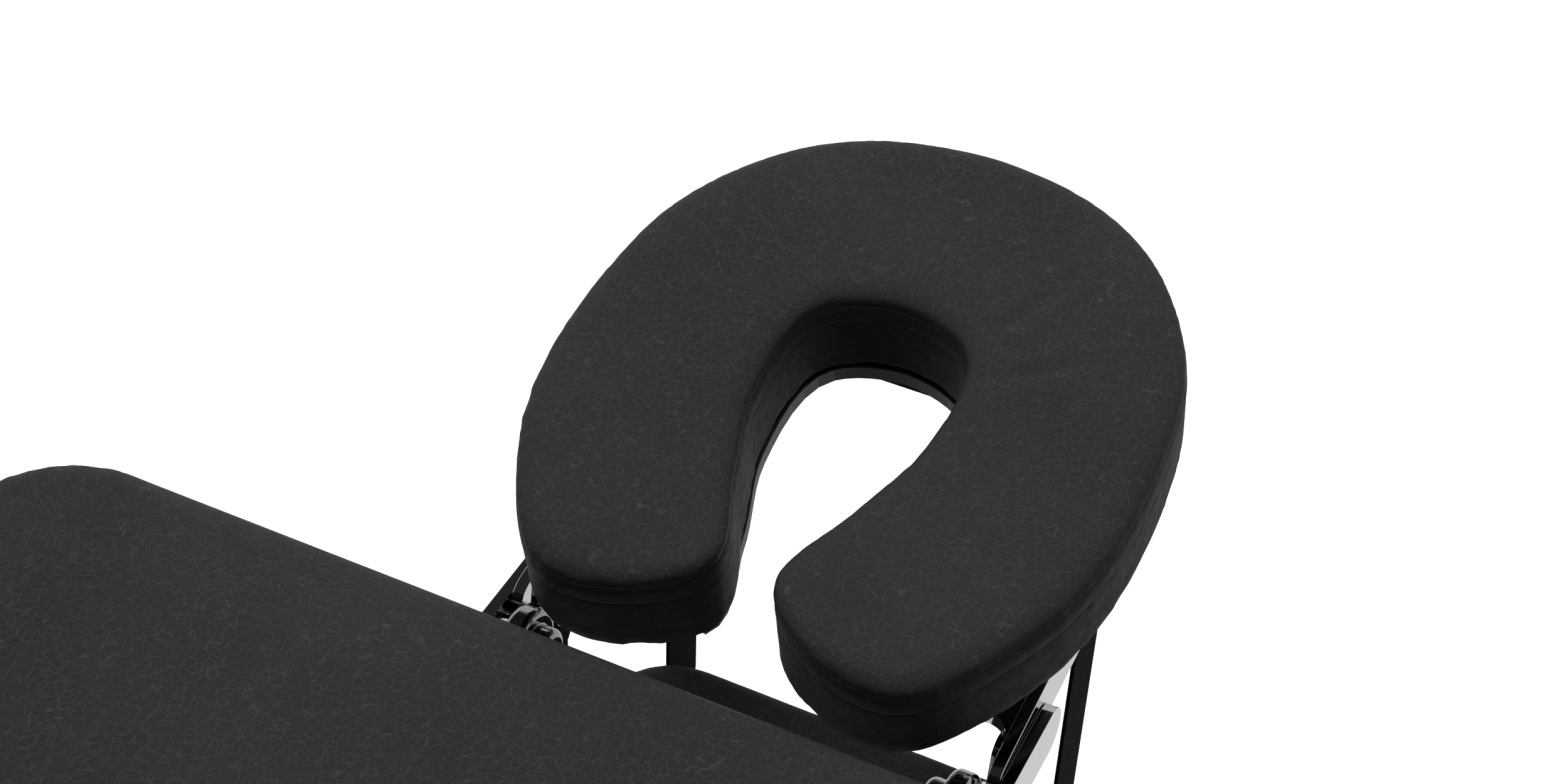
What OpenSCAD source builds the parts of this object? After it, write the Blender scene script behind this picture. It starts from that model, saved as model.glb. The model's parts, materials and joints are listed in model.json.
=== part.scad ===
// Two-section folding massage table with a face cradle and a hanging arm shelf.
// Millimetres. X runs along the table towards the face cradle, Y across it, Z up.
// The origin lies on the floor, under the middle of the whole outline.

/* [Table top] */
// Length of the table top
table_l = 1850; // [1750:10:2000]
// Width of the table top
table_w = 700; // [620:10:800]
// Height of the padding's crown above the floor
top_h = 705; // [665:10:765]
// Thickness of the padding at its crown
pad_t = 59; // [45:1:80]
// Rise of the padding from its rim to its crown
pad_crown = 3; // [1:1:8]
// Radius of the padding's upper edge
pad_edge_r = 14; // [6:1:20]
// Radius of the table's outer corners, seen from above
corner_r = 60; // [50:1:90]
// Half of the gap between the two pads at the fold
pad_gap = 1; // [0.5:0.5:3]
// Thickness of the deck board
deck_t = 6; // [4:1:12]

/* [Frame] */
// Height of the frame's rectangular tube
rail_h = 50; // [46:1:60]
// Width of the frame's rectangular tube
rail_w = 25; // [20:1:30]
// Wall of the frame's tube
rail_wall = 2; // [1.5:0.5:3]
// How far the frame stands back from the table's edge
rail_in = 6; // [6:1:12]
// Thickness of a fold hinge's leaf
leaf_t = 2.5; // [2:0.5:4]
// Length of a fold hinge
hinge_l = 60; // [45:1:90]
// Radius of a fold hinge's knuckle
knuckle_r = 3.8; // [3:0.1:4]
// Radius of a fold hinge's pin
hinge_pin_r = 1.8; // [1.2:0.1:2.2]
// Distance from the middle hinge to the others
hinge_pitch = 230; // [150:10:260]

/* [Legs] */
// Distance from the table's end to the leg pivot
leg_inset = 85; // [80:1:120]
// Outward lean of the legs, in degrees
leg_splay = 5; // [2:0.5:6]
// Radius of the upper leg tube
leg_r = 14; // [12:0.5:15]
// Wall of the leg tubes
leg_wall = 1.5; // [1:0.5:2]
// Length of the upper leg, below its pivot
upper_leg_l = 330; // [300:5:360]
// Depth below the pivot at which the lower leg starts
lower_leg_top = 150; // [140:5:170]
// Radius of the rubber foot
foot_r = 17; // [15.5:0.5:18]
// Length of the rubber foot
foot_h = 58; // [40:1:70]
// Space between the side rail and the leg
leg_side_gap = 18; // [17:0.5:24]
// How much nearer to the middle the foot half's legs stand, so that they pass the others as the table closes
leg_stagger = 40; // [38:0.5:44]
// Radius of the leg's pivot bolt
leg_bolt_r = 5; // [4:0.5:6]
// Radius of the clamp collar on the upper leg
collar_r = 17.5; // [16.5:0.5:18]
// Length of the clamp collar
collar_l = 30; // [24:1:40]
// Radius of the clamp knob on the leg
leg_knob_r = 15; // [12:0.5:16]
// Depth below the pivot at which the stay joins the leg
stay_drop = 265; // [240:5:280]
// Length of the stay between its two studs
stay_l = 400; // [380:5:420]
// Height of the stay's flat bar
stay_h = 16; // [12:1:20]
// Thickness of the stay's flat bar
stay_t = 4; // [3:0.5:5]

/* [Face cradle] */
// Distance between the two outer arms
arm_span = 251; // [240:1:270]
// Height of the arms' flat bar
arm_h = 28; // [22:1:34]
// Thickness of the arms' flat bar
arm_t = 6; // [5:0.5:8]
// Depth of the dowels and the outer arms below the table's crown
dowel_drop = 83; // [79:1:89]
// Radius of a dowel
dowel_r = 8; // [6:0.5:10]
// Length of a dowel inside the table
dowel_l = 90; // [70:5:110]
// Distance from the table's end to the height pivot
pivot_out = 42; // [40:0.5:44]
// Distance from the height pivot to the middle of the outer arm's round end
outer_arm_l = 60; // [57:1:66]
// Distance from the height pivot to the tilt pivot
tilt_out = 57.5; // [55:0.5:60]
// Rise of the tilt pivot over the outer arm's middle line
tilt_rise = 4; // [2:0.5:6]
// Radius of the cradle's pivot bolts
pivot_r = 4; // [3:0.5:5]
// Radius of the clamp knob on the height pivot
knob_r = 20.5; // [18:0.5:21.5]
// Radius of the clamp knob's spigot
spigot_r = 13; // [11:0.5:16]
// Upward pitch of the cushion and its frame, in degrees
cushion_pitch = 8.4; // [6:0.2:9]

/* [Cushion] */
// Length of the cushion along its own plane
cushion_l = 311; // [300:1:330]
// Width of the cushion
cushion_w = 290; // [280:1:310]
// Height of the cushion's wall up to its upper seam
cushion_wall = 44.3; // [36:0.5:50]
// Rise of the cushion's crown over its upper seam
cushion_crown = 10; // [6:0.5:14]
// Distance from the table's end to the front of the cushion's underside
cushion_gap = 28.4; // [26:0.2:36]
// Depth of the front of the cushion's underside below the table's crown
cushion_drop = 46; // [41:0.5:51]
// Thickness of the board under the cushion
board_t = 8; // [5:0.5:10]

/* [Arm shelf] */
// Depth of the shelf's top below the table's crown
shelf_drop = 226; // [212:1:240]
// Size of the shelf along the table
shelf_w = 144; // [140:1:150]
// Size of the shelf across the table
shelf_l = 266; // [262:1:300]
// Thickness of the shelf's padding
shelf_pad_t = 25; // [15:1:35]
// Thickness of the shelf's board
shelf_board_t = 6; // [4:0.5:10]
// Width of the webbing straps on the cradle's far side
strap_w = 32; // [25:1:35]
// Width of the webbing straps near the table
near_strap_w = 18; // [16:1:19]
// Thickness of the webbing
strap_t = 2; // [1.5:0.1:3]

/* [Handle and latch] */
// Length of the carry handle
handle_l = 130; // [110:5:160]
// Drop of the carry handle below its pivots
handle_h = 40; // [36:1:41]
// Thickness of the carry handle
handle_t = 5; // [4:0.2:5.2]
// Length of the latch bar from its pivot to its slot
latch_l = 50; // [44:1:54]

/* [Hidden] */
$fn = 48;

// Clearances and overruns shared by many pieces
fit_gap = 0.05;
slide_gap = 0.1;
side_gap = 0.4;
soft_gap = 0.3;
over = 1;

// Lengths along the table
cradle_reach = cushion_gap + cushion_l * cos(cushion_pitch);
half_l = table_l / 2;
fold_x = -cradle_reach / 2;
head_end = fold_x + half_l;

// Heights of the frame
deck_z = top_h - pad_t - deck_t;
rail_z = deck_z - rail_h;
leaf_gap = 1.5;
hinge_z = rail_z - leaf_t - leaf_gap;
pivot_z = rail_z + rail_h / 2;

// Places across the table
rail_outer_y = table_w / 2 - rail_in;
rail_inner_y = rail_outer_y - rail_w;
function leg_y(side) = rail_inner_y - leg_side_gap - leg_r - (side < 0 ? leg_stagger : 0);
corner_outer_r = corner_r - rail_in;
straight_end = half_l - corner_r;
fold_gap = 0.15;

// Padding
pad_inner_corner_r = 12;
pad_dome_in = 60;
pad_foot_in = 1.5;
pad_foot_h = 4;
corner_steps = 8;
edge_steps = 4;

// Legs
leg_pivot_x = half_l - leg_inset;
bolt_head_r = 8;
bolt_head_t = 4;
washer_t = 1;
bracket_t = 6;
bracket_half = 22;
bracket_margin = 2;
lip_t = 6;
lip_low = 23;
lip_high = 11;
lower_leg_r = leg_r - leg_wall - slide_gap;
leg_reach = pivot_z / cos(leg_splay);
knuckle_depth = 18;
crossbar_r = 9;
crossbar_sink = 1;
crossbar_depths = [70, 190];
collar_gap = 0.02;
foot_floor = 12;
knob_depth = collar_l / 2;
stud_r = 3.5;
leg_knob_t = 12;
leg_knob_gap = 2;
stay_gap = 0.5;
function stay_y(side) = leg_y(side) + collar_r + stay_gap;
stay_stud_r = 4;
stay_rise = asin(stay_drop * cos(leg_splay) / stay_l);
stop_l = 12;
stop_h = 24;
stop_gap = 0.3;

// Fold hinges
leaf_w = 38;
knuckle_gap = 0.2;
pin_head_r = 3;
pin_head_t = 1.5;

// Handle and latch
handle_end = 60;
handle_bar = 10;
handle_ear_l = 8;
handle_ear_r = 2.5;
handle_lift = 4;
ear_h = 8;
ear_wall = 0.6;
latch_x = 500;
latch_bar_h = 14;
latch_bar_t = 4;
latch_r = 4;
latch_head_r = 6.5;
latch_head_t = 1;
latch_peg_r = 3;
latch_tail = 12;
latch_gap = 0.4;

// Sockets
socket_r = 11;
socket_bore_r = dowel_r + fit_gap;
socket_l = 62;
flange_r = 14;
flange_t = 3;
collar_stop_l = 6.7;

// Cradle
pivot_height = top_h - dowel_drop;
outer_arm_y = arm_span / 2;
inner_arm_y = outer_arm_y - side_gap - arm_t;
dowel_y = inner_arm_y + arm_t / 2;
hub_r = 9;
hub_t = 2.5;
knob_t = 11.5;
knob_y = inner_arm_y - side_gap - hub_t - knob_t;
spigot_t = 9.5;
knob_round = 3.5;
plate_start = 4;
fork_r = 11;
cap_r = 9;
cap_t = 3.5;
tilt_x = pivot_out + tilt_out;
tilt_z = pivot_height + tilt_rise;
nut_t = 4;
nut_r = 7;
flush_r = 6.5;
flush_t = 2.5;

// Cradle frame, measured in the cushion's own plane: u from the lobes' front, w up from the underside
arm_top_w = -24;
arm_mid_w = arm_top_w - arm_h / 2;
inner_arm_start = 20.7;
inner_arm_end = 242;
plate_t = 10;
plate_front = 55;
plate_back = 112;
plate_fillet = 12;
plate_inner_y = 62;
far_plate_front = 216;
far_plate_back = 240;
far_plate_t = 6;
spacer_r = 10;
near_spacer_u = 84;
near_spacer_v = 92;
far_spacer_u = 228;
far_spacer_v = 60;
board_in = 12;
board_lip = 0.5;

// Cushion outline: shares of its length from the lobes' front, and of half its width
cushion_knot_shares = [
    [1, 0], [0.928, 0.568], [0.703, 0.936], [0.552, 0.994], [0.175, 0.882], [0.005, 0.577],
    [0.066, 0.166], [0.093, 0.118], [0.278, 0.206], [0.417, 0.293], [0.613, 0.234], [0.649, 0]
];
spline_steps = 6;
// Inset of the crown's rings, and their rise as a share of the crown
crown_insets = [0.6, 2, 4.5, 9, 15, 24];
crown_rise_shares = [0.14, 0.42, 0.66, 0.86, 0.97, 1];

// Shelf and straps
shelf_far = 180;
shelf_near = shelf_far - shelf_w;
shelf_top = top_h - shelf_drop;
shelf_bottom = shelf_top - shelf_pad_t - shelf_board_t;
shelf_corner_r = 43;
shelf_edge_r = 9;
shelf_board_in = 3;
strap_in = 6.1;
strap_y = inner_arm_y - strap_in;
strap_foot_out = 12;
strap_lean = 15;
strap_rise = 15;
strap_foot_x = shelf_far + strap_foot_out;
strap_top_x = strap_foot_x + strap_lean;
strap_top_z = pivot_height + strap_rise;
strap_stud_r = 4;
strap_head_r = 8;
strap_head_t = 2;
strap_pitch = 133;
strap_step = 40;
lug_r = 8;
lug_shift = 7;
lug_drop = 9;
shelf_rail_h = 16;
shelf_rail_t = 3;
strap_foot_z = shelf_bottom - shelf_rail_h / 2;
strap_face = strap_t / 2 + side_gap;
slot_back = 2.5;
slot_ahead = 12;
slot_w = 6;

leather = "#2e2e2e";
chrome = "#c9ccd0";
alloy = "#9ea3a8";
black = "#18181a";
birch = "#c8a878";

// Points on an arc
function arc(c, r, a0, a1, n) = [for (i = [0:n]) let (a = a0 + (a1 - a0) * i / n)
    [c[0] + r * cos(a), c[1] + r * sin(a)]];

// Outline of one table half, shrunk by inset, with small corners at the fold
function half_outline(inset) =
    let (x0 = pad_gap + inset, x1 = half_l - inset, y = table_w / 2 - inset)
    let (ro = max(corner_r - inset, over), ri = max(pad_inner_corner_r - inset, over))
    concat(
        arc([x1 - ro, y - ro], ro, 0, 90, corner_steps),
        arc([x0 + ri, y - ri], ri, 90, 180, corner_steps),
        arc([x0 + ri, ri - y], ri, 180, 270, corner_steps),
        arc([x1 - ro, ro - y], ro, 270, 360, corner_steps)
    );

function raise(points, z) = [for (p = points) [p[0], p[1], z]];

// Closed curve through knots, with tangents weighed by the distance to each neighbour
function wrap(p, i) = p[(i + len(p)) % len(p)];
function gap_after(p, i) = norm(wrap(p, i + 1) - wrap(p, i));
function tangent(p, i) = let (a = gap_after(p, i - 1), b = gap_after(p, i))
    ((wrap(p, i) - wrap(p, i - 1)) * b / a + (wrap(p, i + 1) - wrap(p, i)) * a / b) / (a + b);
function between(p, i, s) = let (d = gap_after(p, i))
    (2 * s * s * s - 3 * s * s + 1) * wrap(p, i) + (s * s * s - 2 * s * s + s) * d * tangent(p, i)
    + (3 * s * s - 2 * s * s * s) * wrap(p, i + 1) + (s * s * s - s * s) * d * tangent(p, i + 1);
function spline(p, n) = [for (i = [0:len(p) - 1]) for (k = [0:n - 1]) between(p, i, k / n)];

half_knots = [for (s = cushion_knot_shares) [s[0] * cushion_l, s[1] * cushion_w / 2]];
last_knot = len(half_knots) - 1;
other_knots = [for (i = [last_knot - 1:-1:1]) [half_knots[i][0], -half_knots[i][1]]];
cushion_curve = spline(concat(half_knots, other_knots), spline_steps);

// The crown's rings draw in less at the tight inner corners of the two lobes
crown_keys = [[4.5, 1], [6, 0.25], [7.2, 0.25], [8.5, 1], [13.5, 1], [14.8, 0.25], [16, 0.25], [17.5, 1]];
function outward(p, i) = let (t = wrap(p, i + 1) - wrap(p, i - 1)) [t[1], -t[0]] / norm(t);
function shrink(p, inset) = [for (i = [0:len(p) - 1])
    p[i] - outward(p, i) * inset * lookup(i / spline_steps, crown_keys)];

// The board reaches under the padding outside, and shows as a thin lip inside the face opening
board_lip_keys = [[6, board_in], [8, -board_lip], [14, -board_lip], [16, board_in]];
board_curve = [for (i = [0:len(cushion_curve) - 1]) cushion_curve[i]
    - outward(cushion_curve, i) * lookup(i / spline_steps, board_lip_keys)];

// Triangles across a horseshoe ring of n points, from its outer edge to its inner edge
function horseshoe_cap(n) = let (h = n / 2, q = floor(h / 2)) [for (i = [0:q - 1]) let (
        a = i, b = i + 1, c = h - i - 1, d = h - i,
        e = (n - i) % n, f = n - i - 1, g = h + i, k = h + i + 1)
    each b == c ? [[a, b, d], [f, e, g]] : [[a, b, c], [a, c, d], [f, e, g], [f, g, k]]];

// Closed solid through rings of equally many points, counter-clockwise from above
module loft(rings, horseshoe = false) {
    n = len(rings[0]);
    last = len(rings) - 1;
    sides = [for (l = [0:last - 1]) for (i = [0:n - 1]) let (j = (i + 1) % n)
        each [[l * n + i, (l + 1) * n + i, (l + 1) * n + j], [l * n + i, (l + 1) * n + j, l * n + j]]];
    floor_faces = horseshoe ? horseshoe_cap(n) : [[for (i = [0:n - 1]) i]];
    top_faces = [for (f = floor_faces) [for (i = [len(f) - 1:-1:0]) last * n + f[i]]];
    polyhedron(points = [for (r = rings) each r], faces = concat(floor_faces, sides, top_faces));
}

// Places one half of the table: the foot half is the head half mirrored at the fold
module half(side) {
    translate([fold_x, 0, 0]) mirror([side < 0 ? 1 : 0, 0, 0]) children();
}

module both_sides() {
    children();
    mirror([0, 1, 0]) children();
}

// Cylinder along Y from y0 to y1
module rod_y(r, y0, y1) {
    translate([0, y0, 0]) rotate([-90, 0, 0]) cylinder(r = r, h = y1 - y0);
}

// Cylinder along X from x0 to x1
module rod_x(r, x0, x1) {
    translate([x0, 0, 0]) rotate([0, 90, 0]) cylinder(r = r, h = x1 - x0);
}

// Flat bar with round ends in the XZ plane, from the origin to length l
module bar(l, h, t) {
    translate([0, t, 0]) rotate([90, 0, 0]) linear_extrude(t) {
        circle(h / 2);
        translate([l, 0]) circle(h / 2);
        translate([0, -h / 2]) square([l, h]);
    }
}

module pad(side) {
    rim = pad_t - pad_crown;
    rings = concat(
        [raise(half_outline(pad_foot_in), 0), raise(half_outline(0), pad_foot_h)],
        [for (i = [0:edge_steps]) let (a = 90 * i / edge_steps)
            raise(half_outline(pad_edge_r * (1 - cos(a))), rim - pad_edge_r * (1 - sin(a)))],
        [raise(half_outline(pad_dome_in), pad_t)]
    );
    color(leather) half(side) translate([0, 0, top_h - pad_t]) loft(rings);
}

module deck(side) {
    r = corner_outer_r;
    l = half_l - rail_in;
    y = rail_outer_y;
    color(birch) half(side) translate([0, 0, deck_z]) linear_extrude(deck_t) {
        translate([fold_gap, -y]) square([l - r - fold_gap, 2 * y]);
        translate([fold_gap, r - y]) square([l - fold_gap, 2 * (y - r)]);
        for (s = [-1, 1]) translate([l - r, s * (y - r)]) circle(r);
    }
}

// Rectangular tube along X from x0 to x1, with its outer face at y
module tube_x(x0, x1, y) {
    difference() {
        translate([x0, y - rail_w, rail_z]) cube([x1 - x0, rail_w, rail_h]);
        translate([x0 - over, y - rail_w + rail_wall, rail_z + rail_wall])
            cube([x1 - x0 + 2 * over, rail_w - 2 * rail_wall, rail_h - 2 * rail_wall]);
    }
}

module side_rails(side) {
    color(alloy) half(side) both_sides() {
        difference() {
            tube_x(fold_gap, straight_end, rail_outer_y);
            translate([leg_pivot_x, 0, pivot_z])
                rod_y(leg_bolt_r + fit_gap, rail_inner_y - over, rail_outer_y + over);
        }
        translate([straight_end, table_w / 2 - corner_r, rail_z])
            rotate_extrude(angle = 90) difference() {
                translate([corner_outer_r - rail_w, 0]) square([rail_w, rail_h]);
                translate([corner_outer_r - rail_w + rail_wall, rail_wall])
                    square([rail_w - 2 * rail_wall, rail_h - 2 * rail_wall]);
            }
    }
}

// Tube across the table whose outer face is at x1
module tube_y(x1, y) {
    difference() {
        translate([x1 - rail_w, -y, rail_z]) cube([rail_w, 2 * y, rail_h]);
        translate([x1 - rail_w + rail_wall, -y - over, rail_z + rail_wall])
            cube([rail_w - 2 * rail_wall, 2 * (y + over), rail_h - 2 * rail_wall]);
    }
}

module end_rail(side) {
    color(alloy) half(side) difference() {
        tube_y(half_l - rail_in, table_w / 2 - corner_r);
        both_sides() translate([0, dowel_y, pivot_height])
            rod_x(socket_r + fit_gap, half_l - rail_in - rail_w - over, half_l);
    }
}

module centre_rail(side) {
    color(alloy) half(side) tube_y(fold_gap + rail_w, rail_inner_y);
}

// Bushes in the end rail that take the cradle's dowels
module sockets(side) {
    face = half_l - rail_in;
    color(black) half(side) both_sides() translate([0, dowel_y, pivot_height]) difference() {
        union() {
            rod_x(socket_r, face - socket_l, face + flange_t);
            rod_x(flange_r, face, face + flange_t);
        }
        rod_x(socket_bore_r, face - socket_l - over, face + flange_t + over);
    }
}

// Frame of a leg: origin at its pivot, -Z along the leg
module leg_frame(side) {
    half(side) translate([leg_pivot_x, 0, pivot_z]) rotate([0, -leg_splay, 0]) children();
}

// Stud that ends the stay at the table's frame, from the leg's pivot
stay_end_x = leg_pivot_x + stay_drop * sin(leg_splay) - stay_l * cos(stay_rise);

// Ear on the rail's outer face that holds one end of a carry handle, with its inner end at x
module handle_ear(x) {
    y = -rail_outer_y - soft_gap - handle_t / 2;
    difference() {
        translate([x, y - handle_ear_r - ear_wall, deck_z - handle_lift - ear_h / 2])
            cube([handle_ear_l - side_gap, -rail_outer_y - y + handle_ear_r + ear_wall, ear_h]);
        translate([0, y, deck_z - handle_lift]) rod_x(handle_ear_r + fit_gap, x - over, x + handle_ear_l + over);
    }
}

// Brackets on the side rails: the leg pivots, the stops for the stays and the handle's ears
module brackets(side) {
    lip_y = leg_y(side) - leg_r;
    color(alloy) half(side) both_sides() {
        difference() {
            union() {
                translate([leg_pivot_x - bracket_half, rail_inner_y - bracket_t, rail_z + bracket_margin])
                    cube([2 * bracket_half, bracket_t, rail_h - 2 * bracket_margin]);
                translate([leg_pivot_x, lip_y, pivot_z]) rotate([0, -leg_splay, 0])
                    translate([leg_r + stop_gap, 0, -lip_low])
                        cube([lip_t, rail_inner_y - lip_y, lip_low - lip_high]);
            }
            translate([leg_pivot_x, 0, pivot_z])
                rod_y(leg_bolt_r + fit_gap, rail_inner_y - bracket_t - over, rail_inner_y + over);
        }
        translate([stay_end_x, 0, pivot_z]) difference() {
            translate([0, stay_y(side) + stay_t + stay_gap, -stop_h / 2])
                cube([stop_l, rail_inner_y - stay_y(side) - stay_t - stay_gap, stop_h]);
            rod_y(stay_stud_r + stop_gap, leg_y(side), rail_outer_y);
        }
    }
    color(alloy) half(side) {
        handle_ear(handle_end - handle_ear_l);
        handle_ear(handle_end + handle_l + side_gap);
    }
}

module leg_bolts(side) {
    inner = leg_y(side) - leg_r;
    color(chrome) half(side) both_sides() translate([leg_pivot_x, 0, pivot_z]) {
        rod_y(leg_bolt_r, inner - washer_t, rail_outer_y + bolt_head_t);
        rod_y(bolt_head_r, inner - washer_t - bolt_head_t, inner - washer_t);
        rod_y(bolt_head_r, rail_outer_y, rail_outer_y + bolt_head_t);
        rod_y(bolt_head_r, leg_y(side) + leg_r + side_gap, rail_inner_y - bracket_t);
    }
}

// Knuckle of a fold hinge between y0 and y1, with its share of the leaf
module knuckle(y0, y1) {
    translate([0, 0, hinge_z]) rod_y(knuckle_r, y0, y1);
    translate([0, y0, hinge_z + leaf_gap]) cube([knuckle_r + leaf_gap, y1 - y0, leaf_t]);
}

module hinge_leaves(side) {
    third = hinge_l / 3;
    color(chrome) half(side) for (y = [-hinge_pitch, 0, hinge_pitch]) translate([0, y, 0]) difference() {
        union() {
            translate([knuckle_r + leaf_gap, -hinge_l / 2, hinge_z + leaf_gap])
                cube([leaf_w, hinge_l, leaf_t]);
            if (side > 0) {
                knuckle(-hinge_l / 2, -third / 2);
                knuckle(third / 2, hinge_l / 2);
            } else {
                knuckle(knuckle_gap - third / 2, third / 2 - knuckle_gap);
            }
        }
        translate([0, 0, hinge_z]) rod_y(hinge_pin_r + fit_gap, -hinge_l, hinge_l);
    }
}

module hinge_pins() {
    color(chrome) half(1) for (y = [-hinge_pitch, 0, hinge_pitch]) translate([0, y, hinge_z]) {
        rod_y(hinge_pin_r, -hinge_l / 2 - fit_gap, hinge_l / 2 + pin_head_t);
        rod_y(pin_head_r, hinge_l / 2 + fit_gap, hinge_l / 2 + pin_head_t);
        rod_y(pin_head_r, -hinge_l / 2 - pin_head_t, -hinge_l / 2 - fit_gap);
    }
}

module upper_legs(side) {
    color(alloy) leg_frame(side) both_sides() translate([0, leg_y(side), 0]) difference() {
        union() {
            translate([0, 0, -upper_leg_l]) cylinder(r = leg_r, h = upper_leg_l);
            rod_y(leg_r, -leg_r, leg_r);
            rod_y(stay_stud_r, leg_r - leg_wall, leg_r);
            translate([0, 0, -stay_drop])
                rod_y(stay_stud_r, leg_r - leg_wall, stay_y(side) - leg_y(side) + stay_t + stay_gap);
        }
        translate([0, 0, -upper_leg_l - over])
            cylinder(r = leg_r - leg_wall, h = upper_leg_l + over - knuckle_depth);
        rod_y(leg_bolt_r + fit_gap, -leg_r - over, leg_r + over);
        translate([0, 0, knob_depth - upper_leg_l]) rod_y(stud_r + fit_gap, -leg_r - over, 0);
    }
}

module crossbars(side) {
    end_y = leg_y(side) - leg_r + crossbar_sink;
    color(alloy) leg_frame(side) for (d = crossbar_depths) translate([0, 0, -d]) difference() {
        rod_y(crossbar_r, -end_y, end_y);
        rod_y(crossbar_r - leg_wall, -end_y - over, end_y + over);
    }
}

module collars(side) {
    color(black) leg_frame(side) both_sides() translate([0, leg_y(side), -upper_leg_l]) difference() {
        cylinder(r = collar_r, h = collar_l);
        translate([0, 0, -over]) cylinder(r = leg_r + collar_gap, h = collar_l + 2 * over);
        translate([0, 0, knob_depth]) rod_y(stud_r + fit_gap, -collar_r - over, 0);
    }
}

// Flat stays that hold the legs open. Their stud at the far end rests in a stop on the side rail
module stays(side) {
    foot_x = leg_pivot_x + stay_drop * sin(leg_splay);
    foot_z = pivot_z - stay_drop * cos(leg_splay);
    color(chrome) half(side) both_sides() translate([foot_x, stay_y(side), foot_z]) rotate([0, 180 + stay_rise, 0]) {
        difference() {
            bar(stay_l, stay_h, stay_t);
            rod_y(stay_stud_r + fit_gap, -over, stay_t + over);
        }
        translate([stay_l, 0, 0]) rod_y(stay_stud_r, stay_t, rail_inner_y - stay_y(side) - stay_gap);
    }
}

module lower_leg(side, hand) {
    color(chrome) leg_frame(side) translate([0, hand * leg_y(side), 0]) difference() {
        translate([0, 0, -leg_reach + foot_floor]) cylinder(r = lower_leg_r, h = leg_reach - foot_floor - lower_leg_top);
        translate([0, 0, -leg_reach]) cylinder(r = lower_leg_r - leg_wall, h = leg_reach);
    }
}

module rubber_foot(side, hand) {
    color(black) difference() {
        leg_frame(side) translate([0, hand * leg_y(side), 0]) difference() {
            translate([0, 0, -leg_reach - foot_r * sin(leg_splay) - over])
                cylinder(r = foot_r, h = foot_h + foot_r * sin(leg_splay) + over);
            translate([0, 0, -leg_reach + foot_floor]) cylinder(r = lower_leg_r + collar_gap, h = foot_h);
        }
        translate([-table_l, -table_w, -foot_h]) cube([2 * table_l, 2 * table_w, foot_h]);
    }
}

module leg_knob(side, hand) {
    face = leg_y(side) - collar_r - leg_knob_gap;
    lobes = 6;
    notch_r = 5;
    color(black) leg_frame(side) mirror([0, hand < 0 ? 1 : 0, 0])
        translate([0, 0, knob_depth - upper_leg_l]) {
            difference() {
                rod_y(leg_knob_r, face - leg_knob_t, face);
                for (i = [0:lobes - 1]) rotate([0, 360 * i / lobes, 0])
                    translate([leg_knob_r + notch_r / 2, 0, 0])
                        rod_y(notch_r, face - leg_knob_t - over, face + over);
            }
            rod_y(stud_r, face - over, leg_y(side) - lower_leg_r - slide_gap);
        }
}

// Fold-down carry handle in a plane beside the rail, on the right side of the table
module handle(side) {
    y0 = -rail_outer_y - soft_gap - handle_t;
    pivot = deck_z - handle_lift;
    color(black) half(side) translate([handle_end, y0, pivot]) {
        difference() {
            translate([0, 0, -handle_h]) cube([handle_l, handle_t, handle_h]);
            translate([handle_bar, -over, handle_bar - handle_h])
                cube([handle_l - 2 * handle_bar, handle_t + 2 * over, handle_h]);
        }
        translate([0, handle_t / 2, 0]) {
            rod_x(handle_ear_r, -handle_ear_l, handle_bar);
            rod_x(handle_ear_r, handle_l - handle_bar, handle_l + handle_ear_l);
        }
    }
}

// Quarter-turn bar that holds the closed halves together. Its slot takes the keeper's peg
module latch_bar() {
    y0 = -rail_outer_y - soft_gap - latch_bar_t;
    color(chrome) half(1) translate([latch_x, y0, pivot_z]) difference() {
        translate([-latch_l - latch_tail, 0, 0]) bar(latch_l + latch_tail, latch_bar_h, latch_bar_t);
        rod_y(latch_r + fit_gap, -over, latch_bar_t + over);
        translate([-latch_l, 0, 0]) {
            rod_y(latch_peg_r + latch_gap, -over, latch_bar_t + over);
            translate([-latch_peg_r - latch_gap, -over, -latch_bar_h])
                cube([2 * (latch_peg_r + latch_gap), latch_bar_t + 2 * over, latch_bar_h]);
        }
    }
}

// Peg for the latch on the foot half, and the latch's own pivot screw on the head half
module headed_peg(x, z, r) {
    outer = rail_outer_y + soft_gap + latch_bar_t + soft_gap;
    translate([x, 0, z]) mirror([0, 1, 0]) {
        rod_y(r, rail_outer_y, outer + latch_head_t);
        rod_y(latch_head_r, outer, outer + latch_head_t);
    }
}

module latch_screw() {
    color(chrome) half(1) headed_peg(latch_x, pivot_z, latch_r);
}

module latch_keeper() {
    color(chrome) half(-1) headed_peg(latch_x, 2 * hinge_z - pivot_z + latch_l, latch_peg_r);
}

// Frame of the cradle's fixed end: x from the table's end, z at the dowels
module at_dowels() {
    translate([head_end, 0, pivot_height]) children();
}

module cradle_dowels() {
    color(chrome) at_dowels() both_sides() {
        translate([0, dowel_y, 0]) {
            rod_x(dowel_r, -rail_in - dowel_l, plate_start);
            rod_x(socket_r, plate_start - collar_stop_l, plate_start);
        }
        difference() {
            translate([plate_start, inner_arm_y, 0]) {
                translate([0, 0, -fork_r]) cube([pivot_out - plate_start, arm_t, 2 * fork_r]);
                translate([pivot_out - plate_start, 0, 0]) rod_y(fork_r, 0, arm_t);
            }
            translate([pivot_out, 0, 0]) rod_y(pivot_r + fit_gap, inner_arm_y - over, outer_arm_y);
        }
    }
}

module height_bolts() {
    outer = outer_arm_y + arm_t;
    color(chrome) at_dowels() both_sides() translate([pivot_out, 0, 0]) {
        rod_y(pivot_r, knob_y + fit_gap, outer);
        rod_y(cap_r, outer, outer + cap_t);
    }
}

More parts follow.
